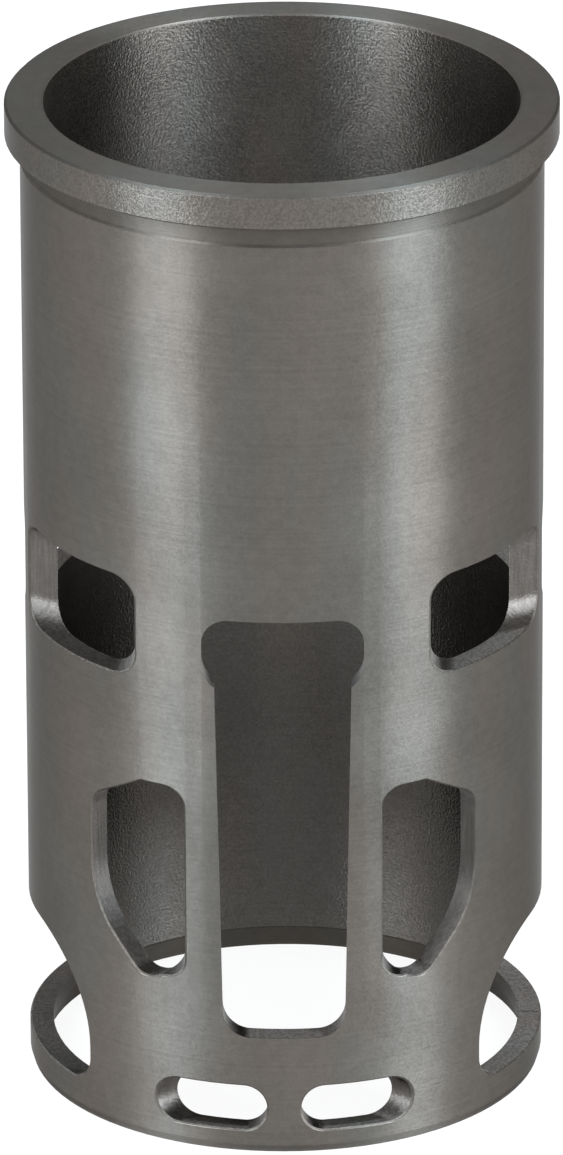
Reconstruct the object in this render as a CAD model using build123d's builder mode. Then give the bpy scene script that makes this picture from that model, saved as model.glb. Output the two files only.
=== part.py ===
from build123d import *
from math import cos, radians, sin, tan
import os

# Ported cylinder liner for a 250-class two-stroke engine.
# One piece of close-grained cast iron: turned and bored as a flanged tube, ground on the
# barrel, then milled through with its ports.
# Millimetres. The origin is the centre of the skirt's bottom face, +Z runs up the bore to
# the flange, and the boost port faces -Y. Azimuths are degrees round the axis, measured from
# the boost port and equal on both sides. Heights are measured up from the skirt's bottom face.

os.makedirs("parts", exist_ok=True)

# Turned tube
length = 144.8
bore_d = 66.4
wall = 3.35
flange_step = 2.1
flange_h = 5.0
flange_break = 0.38
bore_break = 0.25
relief_w = 3.3
relief_depth = 0.3
lead_w = 0.35
lead_h = 1.2
skirt_taper_w = 1.1
skirt_taper_h = 3.4

# Level at which the piston crown stands at the bottom of its stroke: every scavenge port and
# the exhaust port has its floor here.
port_floor = 70.0
cutter_r = 3.5
port_edge_break = 0.25

# Boost port: a wide head over a long slot that narrows on its way down
boost_head_w = 22.6
boost_head_h = 10.9
boost_slot_top_w = 19.1
boost_slot_foot_w = 17.1
boost_foot = 17.6
boost_corner = 3.9
boost_aim = 0.0

# Front transfer ports
transfer_h = 14.7
front_transfer_start = 34.2
front_transfer_end = 78.5

# Main transfer ports. They share one aim with the rear wall of the front transfers, so the
# bar between the two ports is equally thick from the barrel to the bore.
transfer_bar = 5.8
transfer_bar_aim = 123.0
main_transfer_end = 124.0
main_transfer_end_aim = 126.0

# Exhaust port: one wide window halved by an upright bridge
exhaust_w = 45.0
exhaust_h = 31.8
exhaust_bridge_w = 3.6
exhaust_top_corner = 8.0
exhaust_bottom_corner = 5.5
exhaust_bridge_corner = 3.0

# Inlet windows, each milled in two overlapping passes that leave a small cusp at the foot
inlet_start = 22.2
inlet_front_pass_end = 31.6
inlet_rear_pass_start = 26.3
inlet_peak = 33.1
inlet_end = 47.3
inlet_aim = 37.0
inlet_top = 54.6
inlet_shoulder_drop = 4.5
inlet_flank_top = 34.25
inlet_front_foot = 25.6
inlet_foot_step = 0.55
inlet_corner = 3.0
inlet_flank_corner = 14.0
inlet_flank_lean = 43.5

# Side cut-outs in the skirt, where the crankcase feeds the transfer passages
cutout_start = 49.1
cutout_end = 128.0
cutout_split = 90.0
cutout_overlap = 2.0
cutout_top = 25.1
cutout_floor = 4.95
cutout_floor_step = 0.1
cutout_top_corner = 14.5
cutout_bottom_corner = 4.0

# Skirt slots under the boost port
skirt_slot_start = 3.8
skirt_slot_end = 29.7
skirt_slot_end_aim = 54.0
skirt_slot_foot = 3.35
skirt_slot_h = 6.75

# Derived sizes
bore_r = bore_d / 2
barrel_r = bore_r + wall
flange_r = barrel_r + flange_step
transfer_top = port_floor + transfer_h
main_transfer_start = front_transfer_end + transfer_bar
reach = 14.0


def at(radius, azimuth):
    """Plan position at a radius and azimuth, on the +X side."""
    return Vector(radius * sin(radians(azimuth)), -radius * cos(radians(azimuth)), 0)


def wall_in_plan(azimuth, aim, into_port, land):
    """Plan of one upright port wall, from a point well outside the barrel to one inside the bore.

    The wall leaves the barrel at this azimuth and runs towards the aim as it goes outwards. A
    short land square to each end turns into the port, so that a rounded corner can run out.
    """
    off_radial = radians(aim - azimuth)
    inner_r = bore_r - 1.5 * wall
    inward = barrel_r * cos(off_radial) - (inner_r**2 - (barrel_r * sin(off_radial)) ** 2) ** 0.5
    turn = at(land * into_port, aim + 90)
    outer = at(barrel_r, azimuth) + at(reach, aim)
    inner = at(barrel_r, azimuth) - at(inward, aim)
    return [outer + turn, outer, inner, inner + turn]


def port_cutter(
    start, end, floor, roof, bottom_corner, top_corner, start_aim=None, end_aim=None, rounded="both"
):
    """Solid between two upright flat walls, a level floor and a level roof.

    start and end are the azimuths where the walls leave the barrel; a wall with no aim is
    radial. The corners of the rounded walls are left as round as the milling cutter.
    """
    start_aim = start if start_aim is None else start_aim
    end_aim = end if end_aim is None else end_aim
    land = max(bottom_corner, top_corner) + 0.4
    start_wall = wall_in_plan(start, start_aim, 1, land if rounded != "end" else 0.5)
    end_wall = wall_in_plan(end, end_aim, -1, land if rounded != "start" else 0.5)
    corner_azimuths = {"both": [start, end], "start": [start], "end": [end]}[rounded]
    with BuildPart() as cutter:
        with BuildSketch(Plane.XY.offset(floor)):
            with BuildLine():
                Polyline(*start_wall, *reversed(end_wall), close=True)
            make_face()
        extrude(amount=roof - floor)
        for radius, level in ((bottom_corner, floor), (top_corner, roof)):
            corners = [
                cutter.edges().sort_by_distance(at(barrel_r, azimuth) + Vector(0, 0, level))[0]
                for azimuth in corner_azimuths
            ]
            fillet(corners, radius)
    return cutter.part


def window_plane(aim):
    """Upright sketch plane on the bore axis that faces an azimuth: x round the wall, y up."""
    return Plane(origin=(0, 0, 0), x_dir=at(1, aim + 90), z_dir=at(1, aim))


def port_rim(edge):
    """Whether an edge lies on the barrel and bounds a port, so that it isn't a turned circle or the seam."""
    on_barrel = all(
        abs((edge @ t).X ** 2 + (edge @ t).Y ** 2 - barrel_r**2) < 0.1
        for t in (0, 0.2, 0.5, 0.8, 1)
    )
    on_seam = abs((edge @ 0).X) + abs((edge @ 1).X) < 0.01
    return on_barrel and not on_seam and edge.length < barrel_r


def corner(sketch, x, y):
    """The corner of a sketch nearest to a point of its own plane."""
    return sketch.vertices().sort_by_distance(Vector(x, y, 0))[0]


# Boost port, seen square on
with BuildPart() as boost_port:
    with BuildSketch(Plane.XZ):
        with Locations((0, port_floor + boost_head_h / 2)):
            RectangleRounded(boost_head_w, boost_head_h, boost_corner)
        with BuildLine():
            Polyline(
                (-boost_slot_top_w / 2, port_floor + boost_head_h / 2),
                (-boost_slot_top_w / 2, port_floor),
                (-boost_slot_foot_w / 2, boost_foot),
                (boost_slot_foot_w / 2, boost_foot),
                (boost_slot_top_w / 2, port_floor),
                (boost_slot_top_w / 2, port_floor + boost_head_h / 2),
                close=True,
            )
        make_face()
    extrude(amount=barrel_r + reach)
    fillet(
        boost_port.edges().filter_by(Axis.Y).filter_by(lambda e: abs(e.center().Z - boost_foot) < 0.01),
        boost_corner,
    )
    with Locations((0, 0, length / 2)):
        Box(flange_r * 2, bore_r, length * 2, mode=Mode.SUBTRACT)

# Transfer ports on the +X side
front_transfer = port_cutter(
    front_transfer_start, front_transfer_end, port_floor, transfer_top, cutter_r, cutter_r,
    boost_aim, transfer_bar_aim,
)
main_transfer = port_cutter(
    main_transfer_start, main_transfer_end, port_floor, transfer_top, cutter_r, cutter_r,
    transfer_bar_aim, main_transfer_end_aim,
)

# Half of the exhaust port on the +X side of its bridge, seen from the exhaust side
with BuildPart() as exhaust_half:
    with BuildSketch(Plane.XZ.offset(-bore_r / 2)) as exhaust_face:
        inner_x = exhaust_bridge_w / 2
        outer_x = exhaust_w / 2
        roof = port_floor + exhaust_h
        with Locations(((inner_x + outer_x) / 2, (port_floor + roof) / 2)):
            Rectangle(outer_x - inner_x, exhaust_h)
        fillet(corner(exhaust_face, outer_x, roof), exhaust_top_corner)
        fillet(corner(exhaust_face, outer_x, port_floor), exhaust_bottom_corner)
        fillet(corner(exhaust_face, inner_x, roof), exhaust_bridge_corner)
        fillet(corner(exhaust_face, inner_x, port_floor), exhaust_bridge_corner)
    extrude(amount=-(barrel_r + reach))

# Inlet window on the +X side: an upright slot milled straight in beside the boost port, and behind
# it a wider pass whose roof slopes down to the rear and whose foot runs up a leaning flank
front_wall = barrel_r * sin(radians(inlet_start - boost_aim))
front_pass_end = barrel_r * sin(radians(inlet_front_pass_end - boost_aim))
rear_pass_wall, peak, rear_wall = [
    barrel_r * sin(radians(azimuth - inlet_aim))
    for azimuth in (inlet_rear_pass_start, inlet_peak, inlet_end)
]
inlet_shoulder = inlet_top - inlet_shoulder_drop
inlet_foot = inlet_front_foot - inlet_foot_step
flank_foot = rear_wall - (inlet_flank_top - inlet_foot) * tan(radians(inlet_flank_lean))
with BuildPart() as inlet_window:
    with BuildSketch(window_plane(boost_aim)) as front_pass:
        with Locations(((front_wall + front_pass_end) / 2, (inlet_front_foot + inlet_top) / 2)):
            Rectangle(front_pass_end - front_wall, inlet_top - inlet_front_foot)
        fillet(corner(front_pass, front_wall, inlet_front_foot), inlet_corner)
        fillet(corner(front_pass, front_wall, inlet_top), inlet_corner)
    extrude(amount=barrel_r + reach)
    with BuildSketch(window_plane(inlet_aim)) as rear_pass:
        with BuildLine():
            Polyline(
                (rear_pass_wall, inlet_foot),
                (flank_foot, inlet_foot),
                (rear_wall, inlet_flank_top),
                (rear_wall, inlet_shoulder),
                (peak, inlet_top),
                (rear_pass_wall, inlet_top),
                close=True,
            )
        make_face()
        fillet(corner(rear_pass, rear_pass_wall, inlet_foot), inlet_corner)
        fillet(corner(rear_pass, rear_pass_wall, inlet_top), inlet_corner)
        fillet(corner(rear_pass, flank_foot, inlet_foot), inlet_corner)
        fillet(corner(rear_pass, rear_wall, inlet_flank_top), inlet_flank_corner)
        fillet(corner(rear_pass, rear_wall, inlet_shoulder), inlet_corner)
    extrude(amount=barrel_r + reach)
    with Locations((0, 0, length / 2)):
        Cylinder(bore_r - 2 * wall, length * 2, mode=Mode.SUBTRACT)

# Side cut-out on the +X side, milled from the front and from the back with a step between
front_cutout = port_cutter(
    cutout_start, cutout_split, cutout_floor, cutout_top,
    cutout_bottom_corner, cutout_top_corner, rounded="start",
)
rear_cutout = port_cutter(
    cutout_split - cutout_overlap, cutout_end, cutout_floor + cutout_floor_step, cutout_top,
    cutout_bottom_corner, cutout_top_corner, rounded="end",
)

# Skirt slot on the +X side, with ends as round as the slot is high
slot_r = skirt_slot_h / 2 - 0.02
skirt_slot = port_cutter(
    skirt_slot_start, skirt_slot_end, skirt_slot_foot, skirt_slot_foot + skirt_slot_h,
    slot_r, slot_r, end_aim=skirt_slot_end_aim,
)

# The tube's profile is drawn in the boost port's own plane, out from the axis, and turned round it
with BuildPart() as liner:
    with BuildSketch(window_plane(-90)):
        with BuildLine():
            Polyline(
                (bore_r + skirt_taper_w, 0),
                (barrel_r - lead_w, 0),
                (barrel_r, lead_h),
                (barrel_r, length - flange_h - relief_w),
                (barrel_r - relief_depth, length - flange_h - relief_w + relief_depth),
                (barrel_r - relief_depth, length - flange_h),
                (flange_r - bore_break, length - flange_h),
                (flange_r, length - flange_h + bore_break),
                (flange_r, length - flange_break),
                (flange_r - flange_break, length),
                (bore_r + bore_break, length),
                (bore_r, length - bore_break),
                (bore_r, skirt_taper_h),
                close=True,
            )
        make_face()
    revolve(axis=Axis.Z)
    for cutter in (
        front_transfer, main_transfer, exhaust_half.part, inlet_window.part,
        front_cutout, rear_cutout, skirt_slot,
    ):
        add(cutter, mode=Mode.SUBTRACT)
        add(mirror(cutter, about=Plane.YZ), mode=Mode.SUBTRACT)
    chamfer(liner.edges().filter_by(port_rim), port_edge_break)
    # The boost port keeps its edges as milled
    add(boost_port.part, mode=Mode.SUBTRACT)

liner.part.label = "liner"
export_step(liner.part, "parts/liner.step")
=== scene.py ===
from math import cos, pi, radians, sin, tan

import bpy
from bpy.props import FloatProperty, FloatVectorProperty, PointerProperty
from mathutils import Matrix, Vector


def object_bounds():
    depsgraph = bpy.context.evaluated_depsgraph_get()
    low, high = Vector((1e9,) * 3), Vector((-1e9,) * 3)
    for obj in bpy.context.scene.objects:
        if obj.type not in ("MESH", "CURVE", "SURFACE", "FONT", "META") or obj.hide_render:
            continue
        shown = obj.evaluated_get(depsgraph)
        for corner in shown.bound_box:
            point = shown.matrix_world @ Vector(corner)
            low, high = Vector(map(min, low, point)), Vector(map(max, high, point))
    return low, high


# Ported cylinder liner on a plain studio floor. Metres; +Z runs up the bore and the boost port
# faces -Y. The liner is one casting, so its one CAD solid is kept and given its machined finish.

bl_info = {
    "name": "Ported Cylinder Liner",
    "version": (1, 0, 0),
    "blender": (4, 5, 0),
    "location": "3D View > Sidebar > Liner",
    "description": "Gives a ported cast-iron cylinder liner its machined finish and a plain studio",
    "category": "Object",
}

MM = 0.001

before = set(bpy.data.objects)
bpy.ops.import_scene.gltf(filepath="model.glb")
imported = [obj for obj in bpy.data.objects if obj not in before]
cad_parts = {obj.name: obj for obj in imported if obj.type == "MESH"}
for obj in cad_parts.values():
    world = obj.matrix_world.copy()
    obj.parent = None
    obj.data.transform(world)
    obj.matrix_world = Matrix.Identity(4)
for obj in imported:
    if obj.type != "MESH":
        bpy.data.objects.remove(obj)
cad_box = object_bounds()
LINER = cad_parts["liner"]
LENGTH = cad_box[1].z - cad_box[0].z
FLANGE_R = cad_box[1].x

# Levels and radii at which one machined surface hands over to the next
BORE_R = 33.2 * MM
BARREL_R = 36.55 * MM
TAPER_TOP = 3.4 * MM
GROOVE_FOOT = 136.45 * MM
FLANGE_FOOT = 139.8 * MM


def linear(hex_colour):
    """Linear RGBA of an sRGB hex colour such as #808080."""
    channels = [int(hex_colour[i:i + 2], 16) / 255 for i in (1, 3, 5)]
    return [c / 12.92 if c <= 0.04045 else ((c + 0.055) / 1.055) ** 2.4 for c in channels] + [1.0]


def add_node(tree, kind, inputs=None, **settings):
    """One node with its settings. An input, by name or place among those that its settings leave
    in use, is a constant, an output socket, or a node, which gives its first output in use."""
    made = tree.nodes.new(kind)
    for name, value in settings.items():
        setattr(made, name, value)
    sockets = [socket for socket in made.inputs if socket.enabled]
    for key, value in (inputs or {}).items():
        socket = sockets[key] if isinstance(key, int) else next(s for s in sockets if s.name == key)
        if isinstance(value, bpy.types.Node):
            value = next(output for output in value.outputs if output.enabled)
        if isinstance(value, bpy.types.NodeSocket):
            tree.links.new(value, socket)
        else:
            socket.default_value = value
    return made


def empty_material(name):
    material = bpy.data.materials.new(name)
    material.use_nodes = True
    material.node_tree.nodes.clear()
    return material, material.node_tree


class LinerFinish(bpy.types.PropertyGroup):
    barrel_colour: FloatVectorProperty(
        name="Barrel", description="Colour of the ground barrel and the flange's rim",
        subtype="COLOR", size=4, min=0.0, max=1.0, default=linear("#64615c"))
    bore_colour: FloatVectorProperty(
        name="Bore", description="Colour of the bored wall",
        subtype="COLOR", size=4, min=0.0, max=1.0, default=linear("#65625d"))
    face_colour: FloatVectorProperty(
        name="Faces", description="Colour of the flange's faced top and underside",
        subtype="COLOR", size=4, min=0.0, max=1.0, default=linear("#605f5b"))
    # The groove is darker than the barrel; the ports' broken edges take the same dark colour as
    # painted shade, which dims their glints
    groove_tone_and_edge_shade: FloatVectorProperty(
        name="Groove and edges", description="Colour of the groove and the ports' broken edges",
        subtype="COLOR", size=4, min=0.0, max=1.0, default=linear("#5a5752"))
    foot_colour: FloatVectorProperty(
        name="Groove foot", description="Colour of the bright edge at the foot of the groove",
        subtype="COLOR", size=4, min=0.0, max=1.0, default=linear("#64615c"))
    # Painted shade: the taper faces down at the floor under the bore, and its dark colour stands
    # for the shade there
    taper_shade_colour: FloatVectorProperty(
        name="Skirt taper", description="Colour of the taper inside the skirt's foot, darkened as painted shade",
        subtype="COLOR", size=4, min=0.0, max=1.0, default=linear("#45423d"))
    port_colour: FloatVectorProperty(
        name="Port walls", description="Colour of the milled port walls and the skirt's foot",
        subtype="COLOR", size=4, min=0.0, max=1.0, default=linear("#64615d"))
    grind_pitch: FloatProperty(
        name="Grinding lines", description="Height of one band of grinding lines on the barrel",
        default=0.55 * MM, min=0.05 * MM, max=5 * MM, unit="LENGTH", precision=5)
    turn_pitch: FloatProperty(
        name="Turning feed", description="Feed of the tool on the turned faces",
        default=0.3 * MM, min=0.05 * MM, max=2 * MM, unit="LENGTH", precision=5)
    grain: FloatProperty(
        name="Open grain", description="Size of the torn iron grain on the bored wall and the rim",
        default=0.36 * MM, min=0.05 * MM, max=5 * MM, unit="LENGTH", precision=5)
    mill_pitch: FloatProperty(
        name="Milling marks", description="Spacing of the cutter's upright marks on the port walls",
        default=0.5 * MM, min=0.05 * MM, max=5 * MM, unit="LENGTH", precision=5)
    cloud: FloatProperty(
        name="Handling marks", description="Width of the slow changes of tone",
        default=15 * MM, min=1 * MM, unit="LENGTH", precision=4)
    fleck: FloatProperty(
        name="Oil flecks", description="Width of the quick changes of tone",
        default=1.5 * MM, min=0.1 * MM, unit="LENGTH", precision=4)
    reflection_streaks: FloatProperty(
        name="Painted reflection", description="Width of the upright streaks of painted reflection",
        default=10 * MM, min=1 * MM, unit="LENGTH", precision=4)
    edge_sheen: FloatVectorProperty(
        name="Edge sheen", description="Tint of the iron's sheen where it turns away from the eye",
        subtype="COLOR", size=4, min=0.0, max=1.0, default=linear("#bcbcbc"))
    roughness: FloatProperty(
        name="Roughness", description="Roughness of the ground barrel",
        default=0.35, min=0.0, max=1.0, subtype="FACTOR")
    drawn_marks: FloatProperty(
        name="Directional marks", description="How far the tool marks stretch a highlight",
        default=0.82, min=0.0, max=1.0, subtype="FACTOR")


class StudioSetup(bpy.types.PropertyGroup):
    floor_colour: FloatVectorProperty(
        name="Floor", description="Colour of the floor",
        subtype="COLOR", size=4, min=0.0, max=1.0, default=linear("#fafafa"))
    floor_width: FloatProperty(
        name="Floor width", description="Width of the floor", default=8.0, min=1.0, unit="LENGTH")
    floor_glow: FloatProperty(
        name="Floor glow", description="Share of white in the floor as the eye and metal see it",
        default=0.9, min=0.0, max=1.0, subtype="FACTOR")
    sky_colour: FloatVectorProperty(
        name="Surround", description="Colour of the room round the floor",
        subtype="COLOR", size=4, min=0.0, max=1.0, default=linear("#ffffff"))
    left_azimuth: FloatProperty(
        name="Left lamp azimuth", description="Angle of the left lamp from the front",
        default=radians(51.5), subtype="ANGLE")
    right_azimuth: FloatProperty(
        name="Right lamp azimuth", description="Angle of the right lamp from the front",
        default=radians(58.5), subtype="ANGLE")
    left_distance: FloatProperty(
        name="Left lamp distance", description="Plan distance from the liner to the left lamp",
        default=1.8, min=0.2, unit="LENGTH")
    right_distance: FloatProperty(
        name="Right lamp distance", description="Plan distance from the liner to the right lamp",
        default=4.0, min=0.2, unit="LENGTH")
    lamp_spread: FloatProperty(
        name="Lamp width", description="Width of each side lamp, as its angle at the liner",
        default=radians(25), subtype="ANGLE")
    lamp_rise: FloatProperty(
        name="Lamp height", description="Height of each side lamp, as its angle above the floor",
        default=radians(74), subtype="ANGLE")
    lamp_colour: FloatVectorProperty(
        name="Lamp colour", description="Colour of the lamps' light",
        subtype="COLOR", size=4, min=0.0, max=1.0, default=linear("#ebf6ff"))
    left_power: FloatProperty(
        name="Left lamp power", description="Power of the left lamp if it stood one metre away",
        default=62.0, min=0.0, unit="POWER")
    right_power: FloatProperty(
        name="Right lamp power", description="Power of the right lamp if it stood one metre away",
        default=71.0, min=0.0, unit="POWER")
    fill_place: FloatVectorProperty(
        name="Fill place", description="Where the broad lamp over the front hangs",
        default=(0.34, -1.26, 0.9), subtype="TRANSLATION", unit="LENGTH")
    fill_width: FloatProperty(
        name="Fill width", description="Width of the broad lamp",
        default=1.0, min=0.1, unit="LENGTH")
    fill_height: FloatProperty(
        name="Fill height", description="Height of the broad lamp",
        default=0.8, min=0.1, unit="LENGTH")
    fill_power: FloatProperty(
        name="Fill power", description="Power of the broad lamp",
        default=4.0, min=0.0, unit="POWER")
    camera_target: FloatVectorProperty(
        name="Camera target", description="The point that the camera looks at",
        default=(-0.335 * MM, 0, 72.371 * MM), subtype="TRANSLATION", unit="LENGTH", precision=6)
    camera_distance: FloatProperty(
        name="Camera distance", description="Distance from the camera to its target",
        default=1.818, min=0.3, unit="LENGTH")
    camera_elevation: FloatProperty(
        name="Camera elevation", description="Angle of the camera above the floor",
        default=radians(22.805), subtype="ANGLE")
    camera_turn: FloatProperty(
        name="Camera turn", description="Angle of the camera round the liner from the front",
        default=radians(0.4), subtype="ANGLE")
    camera_roll: FloatProperty(
        name="Camera roll", description="Roll of the camera",
        default=radians(-0.246), subtype="ANGLE")
    camera_sensor: FloatProperty(
        name="Sensor height", description="Height of the camera's sensor in millimetres",
        default=36.0, min=1.0, subtype="DISTANCE_CAMERA")
    camera_lens: FloatProperty(
        name="Lens", description="Focal length in millimetres", default=401.6, min=1.0,
        subtype="DISTANCE_CAMERA")


class LINER_OT_finish(bpy.types.Operator):
    """Gives the liner its ground, bored, turned and milled cast-iron finish"""

    bl_idname = "liner.finish"
    bl_label = "Machined cast iron"

    def execute(self, context):
        finish = context.scene.liner_finish
        # Close-grained grey cast iron, machined all over: dull and slightly warm, with broad soft
        # highlights that the tool marks stretch along the axis, and an open grain in the bore
        material, tree = empty_material("grey_cast_iron_machined")

        place = add_node(tree, "ShaderNodeTexCoord")
        axes = add_node(tree, "ShaderNodeSeparateXYZ", {0: place.outputs["Object"]})
        height = axes.outputs["Z"]
        plan = add_node(
            tree, "ShaderNodeCombineXYZ", {"X": axes.outputs["X"], "Y": axes.outputs["Y"]})
        radius = add_node(tree, "ShaderNodeVectorMath", {0: plan}, operation="LENGTH")

        # Where each machined surface is. A limit is the coordinate it runs along, its radius or
        # level, and how far from there the surface's finish starts and is full, in millimetres.
        off_the_bore = (radius, BORE_R, 0.02, 0.08)
        behind_the_barrel = (radius, BARREL_R, -0.03, -0.08)
        under_the_groove = (height, GROOVE_FOOT, 0.05, -0.05)
        in_the_flange = (height, FLANGE_FOOT, -0.03, 0.03)
        in_the_groove = [
            (height, GROOVE_FOOT, -0.05, 0.05), off_the_bore, (height, FLANGE_FOOT, 0.03, -0.03)]
        limits = {
            "bore": [(radius, BORE_R, 0.08, 0.02)],
            "barrel": [(radius, BARREL_R, -0.08, -0.03), under_the_groove],
            "flange": [off_the_bore, in_the_flange],
            "rim": [(radius, FLANGE_R, -0.2, -0.05), in_the_flange],
            "groove": in_the_groove,
            "groove foot": in_the_groove + [(height, GROOVE_FOOT, 0.4, 0.3)],
            "taper": [(height, TAPER_TOP, 0.03, -0.03), (radius, BARREL_R, -1.2, -1.3)],
            "edge break": [(radius, BARREL_R, -0.3, -0.24), behind_the_barrel, under_the_groove],
            "flange's edge": [
                (radius, FLANGE_R, -0.42, -0.36), (radius, FLANGE_R, -0.01, -0.04),
                (height, LENGTH, -0.42, -0.36)],
            "port": [
                off_the_bore, behind_the_barrel, under_the_groove, (height, TAPER_TOP, -0.3, -0.1)],
        }
        share = {}
        for surface, its_limits in limits.items():
            inside = 1.0
            for along, limit, start, full in its_limits:
                within = add_node(
                    tree, "ShaderNodeMapRange",
                    {"Value": along, "From Min": limit + start * MM, "From Max": limit + full * MM},
                    interpolation_type="SMOOTHSTEP")
                inside = add_node(
                    tree, "ShaderNodeMath", {0: inside, 1: within}, operation="MULTIPLY")
            share[surface] = inside

        # Tool lines run round the axis, so they vary only with height plus radius. A real line is
        # some 0.02 mm wide, too fine to show, so each band that is drawn stands for many.
        run = add_node(tree, "ShaderNodeMath", {0: height, 1: radius}, operation="ADD")
        grind = add_node(
            tree, "ShaderNodeTexNoise",
            {"W": run, "Scale": 1 / finish.grind_pitch, "Detail": 3.0, "Roughness": 0.6},
            noise_dimensions="1D")
        turn = add_node(
            tree, "ShaderNodeTexNoise",
            {"W": run, "Scale": 1 / finish.turn_pitch, "Detail": 2.0, "Roughness": 0.5},
            noise_dimensions="1D")
        # The iron's grain is some 0.05 mm across, and is drawn as coarse as it needs to be to show
        grain = add_node(
            tree, "ShaderNodeTexNoise",
            {"Vector": place.outputs["Object"], "Scale": 1 / finish.grain, "Detail": 1.0,
             "Roughness": 0.5})
        # The cutter leaves upright streaks on the ports' walls, drawn coarser than their real
        # 0.1 mm so that they show
        streak_height = 12.5  # in widths
        streaks = add_node(
            tree, "ShaderNodeVectorMath",
            {0: place.outputs["Object"], 1: (1.0, 1.0, 1 / streak_height)}, operation="MULTIPLY")
        milled = add_node(
            tree, "ShaderNodeTexNoise",
            {"Vector": streaks, "Scale": 1 / finish.mill_pitch, "Detail": 2.0, "Roughness": 0.6})
        # Changes of tone from handling and oil, and a painted reflection of the room in faint warm
        # and cool upright streaks
        cloud = add_node(
            tree, "ShaderNodeTexNoise",
            {"Vector": place.outputs["Object"], "Scale": 1 / finish.cloud, "Detail": 2.0})
        fleck = add_node(
            tree, "ShaderNodeTexNoise",
            {"Vector": place.outputs["Object"], "Scale": 1 / finish.fleck, "Detail": 2.0})
        patch_height = 4  # in widths
        patches = add_node(
            tree, "ShaderNodeVectorMath",
            {0: place.outputs["Object"], 1: (1.0, 1.0, 1 / patch_height)}, operation="MULTIPLY")
        reflection_streaks = add_node(
            tree, "ShaderNodeTexNoise",
            {"Vector": patches, "Scale": 1 / finish.reflection_streaks, "Detail": 1.0})

        # What each surface shows: the value elsewhere, then the surfaces that lay their own over it
        shows = {}
        for name, data_type, elsewhere, layers in (
            ("colour", "RGBA", finish.port_colour, (
                ("barrel", finish.barrel_colour), ("flange", finish.face_colour),
                ("rim", finish.barrel_colour), ("groove", finish.groove_tone_and_edge_shade),
                ("groove foot", finish.foot_colour), ("bore", finish.bore_colour),
                ("taper", finish.taper_shade_colour), ("edge break", finish.groove_tone_and_edge_shade))),
            ("roughness", "FLOAT", finish.roughness + 0.08, (
                ("barrel", finish.roughness), ("bore", finish.roughness + 0.02),
                ("rim", finish.roughness), ("edge break", finish.roughness + 0.2),
                ("port", finish.roughness + 0.14), ("flange's edge", finish.roughness + 0.25))),
            ("tool marks", "FLOAT", turn, (("barrel", grind), ("port", milled))),
            ("tool mark depth", "FLOAT", 1.5, (("port", 2.4),)),
            ("grain depth", "FLOAT", 0.8, (("bore", 8.5), ("rim", 4.5), ("port", 4.0))),
            ("grain in tone", "FLOAT", 0.05, (("bore", 0.1), ("rim", 0.16))),
            ("grain in roughness", "FLOAT", 0.025, (("bore", 0.035), ("rim", 0.035))),
        ):
            shows[name] = elsewhere
            for surface, there in layers:
                shows[name] = add_node(
                    tree, "ShaderNodeMix",
                    {"Factor": share[surface], "A": shows[name], "B": there}, data_type=data_type)

        # What each pattern or place gives: what is read, from where to where, and what comes of it
        facing = add_node(tree, "ShaderNodeSeparateXYZ", {0: place.outputs["Normal"]})
        gives = {}
        for name, read, low, high, at_low, at_high in (
            ("cloud", cloud, 0.3, 0.7, -0.05, 0.05),
            ("fleck", fleck, 0.3, 0.7, -0.04, 0.04),
            ("grinding", grind, 0.3, 0.7, -0.03, 0.03),
            ("milling", milled, 0.3, 0.7, -0.16, 0.16),
            ("speckle", grain, 0.25, 0.75, -1.0, 1.0),
            ("cloud in roughness", cloud, 0.3, 0.7, -0.02, 0.02),
            # Painted shade: the bore's wall is darker towards its foot, where little light reaches
            ("painted bore shade", height, 35 * MM, 65 * MM, 0.68, 1.0),
            # Painted light and shade in the ports: their upright walls are painted lighter and
            # their floors darker
            ("port wall", facing.outputs["Z"], 0.2, 0.9, 1.18, 0.68),
            # The painted reflection warms the iron in its upright streaks and leaves it cooler
            # between them
            ("red", reflection_streaks, 0.35, 0.65, 0.98, 1.03),
            ("green", reflection_streaks, 0.35, 0.65, 1.0, 0.985),
            ("blue", reflection_streaks, 0.35, 0.65, 1.02, 0.985),
        ):
            gives[name] = add_node(
                tree, "ShaderNodeMapRange",
                {"Value": read, "From Min": low, "From Max": high, "To Min": at_low,
                 "To Max": at_high}, interpolation_type="SMOOTHSTEP")

        tone = 1.0
        for name in ("cloud", "fleck", "grinding"):
            tone = add_node(tree, "ShaderNodeMath", {0: tone, 1: gives[name]}, operation="ADD")
        # Painted light and shade in the tone: the bore darker towards its foot, the flange's broken
        # edge dimmed to tone down its glint, and the ports' upright walls lighter than their floors
        for surface, shade in (
            ("bore", gives["painted bore shade"]), ("flange's edge", 0.8), ("port", gives["port wall"]),
        ):
            there = add_node(
                tree, "ShaderNodeMix", {"Factor": share[surface], "A": 1.0, "B": shade},
                data_type="FLOAT")
            tone = add_node(tree, "ShaderNodeMath", {0: tone, 1: there}, operation="MULTIPLY")
        for name, strength in (("speckle", shows["grain in tone"]), ("milling", share["port"])):
            tone = add_node(
                tree, "ShaderNodeMath", {0: gives[name], 1: strength, 2: tone},
                operation="MULTIPLY_ADD")
        toned = {}
        for channel, name in enumerate(("red", "green", "blue")):
            toned[channel] = add_node(
                tree, "ShaderNodeMath", {0: tone, 1: gives[name]}, operation="MULTIPLY")
        colour = add_node(
            tree, "ShaderNodeMix",
            {"Factor": 1.0, "A": shows["colour"],
             "B": add_node(tree, "ShaderNodeCombineColor", toned)},
            data_type="RGBA", blend_type="MULTIPLY")

        rough = add_node(
            tree, "ShaderNodeMath",
            {0: gives["speckle"], 1: shows["grain in roughness"], 2: shows["roughness"]},
            operation="MULTIPLY_ADD")
        rough = add_node(
            tree, "ShaderNodeMath", {0: rough, 1: gives["cloud in roughness"]}, operation="ADD")

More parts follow.
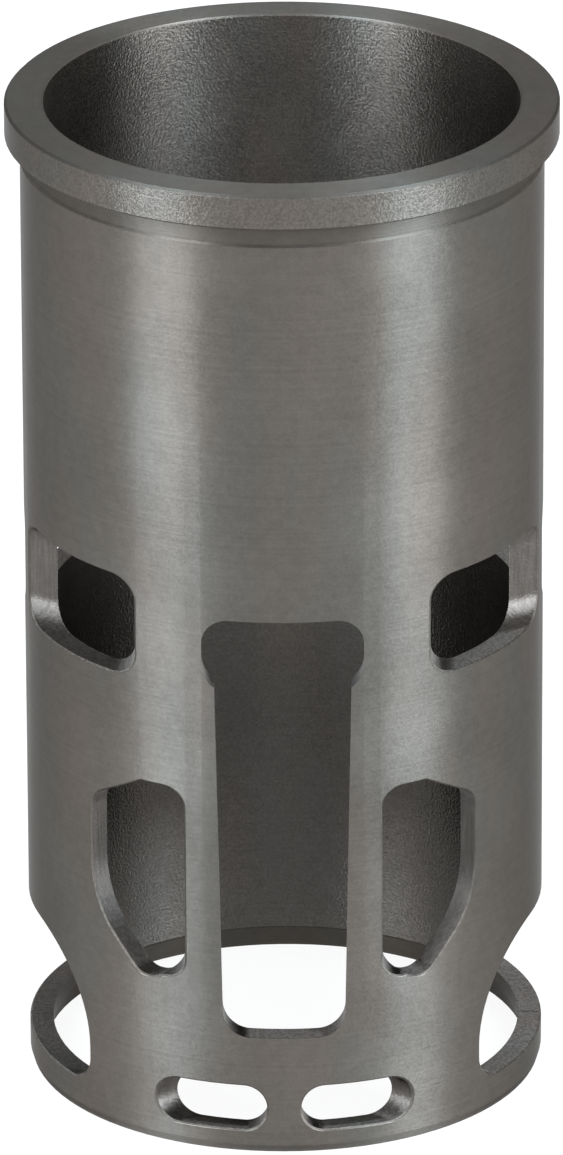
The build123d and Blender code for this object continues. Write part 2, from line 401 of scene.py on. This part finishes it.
        # Relief, which is this high where the sum of marks and grain is 1
        relief_height = 0.008 * MM
        torn = add_node(
            tree, "ShaderNodeMath", {0: grain, 1: shows["grain depth"]}, operation="MULTIPLY")
        relief = add_node(
            tree, "ShaderNodeMath",
            {0: shows["tool marks"], 1: shows["tool mark depth"], 2: torn},
            operation="MULTIPLY_ADD")
        bump = add_node(
            tree, "ShaderNodeBump", {"Strength": 1.0, "Distance": relief_height, "Height": relief})

        # The marks run round the axis, and nearly upright inside the ports. A quarter turn of the
        # anisotropy stretches each highlight across them.
        around = add_node(tree, "ShaderNodeTangent", direction_type="RADIAL", axis="Z")
        nearly_upright = (0.37, 0.21, 0.9)
        marks = add_node(
            tree, "ShaderNodeMix", {"Factor": share["port"], "A": around, "B": nearly_upright},
            data_type="VECTOR")
        iron = add_node(
            tree, "ShaderNodeBsdfPrincipled",
            {"Base Color": colour, "Metallic": 1.0, "Roughness": rough, "Normal": bump,
             "Anisotropic": finish.drawn_marks, "Anisotropic Rotation": 0.25,
             "Tangent": marks, "Specular Tint": finish.edge_sheen})
        add_node(tree, "ShaderNodeOutputMaterial", {"Surface": iron})

        LINER.material_slots[0].material = material
        return {"FINISHED"}


def lay_floor(scene, studio):
    """One wide sheet of paper that looks white, in the metal too, and keeps the liner's shadow."""
    # Matt white paper: even and without gloss, so only the liner's soft shadow shows on it
    material, tree = empty_material("pale_paper_floor_matt")
    paper = add_node(tree, "ShaderNodeBsdfDiffuse", {"Color": studio.floor_colour})
    glow = add_node(tree, "ShaderNodeEmission", {"Color": linear("#ffffff"), "Strength": 1.0})
    path = add_node(tree, "ShaderNodeLightPath")
    mirrored = add_node(
        tree, "ShaderNodeMath",
        {0: path.outputs["Is Glossy Ray"], 1: path.outputs["Is Transmission Ray"]},
        operation="MAXIMUM")
    # The paper shut in under the bore gets next to no light for the metal to show, and least of
    # all near the axis
    dark_r, dark_share = 12 * MM, 0.1
    place = add_node(tree, "ShaderNodeTexCoord")
    away = add_node(
        tree, "ShaderNodeVectorMath", {0: place.outputs["Object"]}, operation="LENGTH")
    open_floor = add_node(
        tree, "ShaderNodeMapRange",
        {"Value": away, "From Min": dark_r, "From Max": BORE_R, "To Min": dark_share})
    mirrored = add_node(
        tree, "ShaderNodeMath", {0: mirrored, 1: open_floor}, operation="MULTIPLY")
    seen = add_node(
        tree, "ShaderNodeMath", {0: path.outputs["Is Camera Ray"], 1: mirrored},
        operation="MAXIMUM")
    white = add_node(
        tree, "ShaderNodeMath", {0: seen, 1: studio.floor_glow}, operation="MULTIPLY")
    both = add_node(tree, "ShaderNodeMixShader", {0: white, 1: paper, 2: glow})
    add_node(tree, "ShaderNodeOutputMaterial", {"Surface": both})

    half = studio.floor_width / 2
    mesh = bpy.data.meshes.new("floor")
    mesh.from_pydata(
        [(-half, -half, 0), (half, -half, 0), (half, half, 0), (-half, half, 0)], [],
        [(0, 1, 2, 3)])
    mesh.materials.append(material)
    floor = bpy.data.objects.new("floor", mesh)
    scene.collection.objects.link(floor)


def light_room(scene, studio):
    """A white room, with a tall soft lamp to each side and a broad one over the front."""
    world = bpy.data.worlds.new("studio_room")
    world.use_nodes = True
    world.node_tree.nodes.clear()
    sky = add_node(
        world.node_tree, "ShaderNodeBackground", {"Color": studio.sky_colour, "Strength": 1.0})
    add_node(world.node_tree, "ShaderNodeOutputWorld", {"Surface": sky})
    scene.world = world

    middle = LENGTH / 2
    lamps = [(
        "soft_lamp_front", Vector(studio.fill_place), studio.fill_width, studio.fill_height,
        studio.fill_power, middle)]
    for name, azimuth, out, power in (
        ("soft_lamp_left", -studio.left_azimuth, studio.left_distance, studio.left_power),
        ("soft_lamp_right", studio.right_azimuth, studio.right_distance, studio.right_power),
    ):
        width, rise = 2 * out * tan(studio.lamp_spread / 2), out * tan(studio.lamp_rise)
        place = Vector((sin(azimuth) * out, -cos(azimuth) * out, rise / 2))
        lamps.append((name, place, width, rise, power * out**2, place.z))
    for name, place, width, rise, power, level in lamps:
        data = bpy.data.lights.new(name, "AREA")
        data.shape = "RECTANGLE"
        data.size = width
        data.size_y = rise
        data.energy = power
        data.color = studio.lamp_colour[:3]
        lamp = bpy.data.objects.new(name, data)
        lamp.location = place
        lamp.rotation_euler = (Vector((0, 0, level)) - place).to_track_quat("-Z", "Y").to_euler()
        scene.collection.objects.link(lamp)


def stand_camera(scene, studio):
    """A long-lens camera in front of the liner and a little above it."""
    data = bpy.data.cameras.new("camera")
    data.sensor_fit = "VERTICAL"
    data.sensor_height = studio.camera_sensor
    data.lens = studio.camera_lens
    camera = bpy.data.objects.new("camera", data)
    scene.collection.objects.link(camera)
    tilt = studio.camera_elevation
    back = Vector((0, -cos(tilt), sin(tilt))) * studio.camera_distance
    camera.matrix_world = (
        Matrix.Rotation(studio.camera_turn, 4, "Z")
        @ Matrix.Translation(Vector(studio.camera_target) + back)
        @ Matrix.Rotation(pi / 2 - tilt, 4, "X")
        @ Matrix.Rotation(studio.camera_roll, 4, "Z")
    )
    scene.camera = camera


class LINER_OT_stage(bpy.types.Operator):
    """Lays a plain pale floor under the liner, lights the room and stands the camera in front"""

    bl_idname = "liner.stage"
    bl_label = "Studio"

    def execute(self, context):
        studio = context.scene.liner_studio
        lay_floor(context.scene, studio)
        light_room(context.scene, studio)
        stand_camera(context.scene, studio)
        context.scene.view_settings.view_transform = "Standard"
        return {"FINISHED"}


class LINER_PT_panel(bpy.types.Panel):
    """Lists the finish and studio settings and their operators"""

    bl_idname = "LINER_PT_panel"
    bl_label = "Cylinder liner"
    bl_space_type = "VIEW_3D"
    bl_region_type = "UI"
    bl_category = "Liner"

    def draw(self, context):
        for settings, operator in (
            (context.scene.liner_finish, LINER_OT_finish),
            (context.scene.liner_studio, LINER_OT_stage),
        ):
            box = self.layout.box()
            for name in settings.__annotations__:
                box.prop(settings, name)
            box.operator(operator.bl_idname)


CLASSES = (LinerFinish, StudioSetup, LINER_OT_finish, LINER_OT_stage, LINER_PT_panel)


def register():
    for item in CLASSES:
        bpy.utils.register_class(item)
    bpy.types.Scene.liner_finish = PointerProperty(type=LinerFinish)
    bpy.types.Scene.liner_studio = PointerProperty(type=StudioSetup)


def unregister():
    del bpy.types.Scene.liner_finish
    del bpy.types.Scene.liner_studio
    for item in reversed(CLASSES):
        bpy.utils.unregister_class(item)


def main():
    register()
    bpy.ops.liner.finish()
    bpy.ops.liner.stage()


if __name__ == "__main__":
    main()
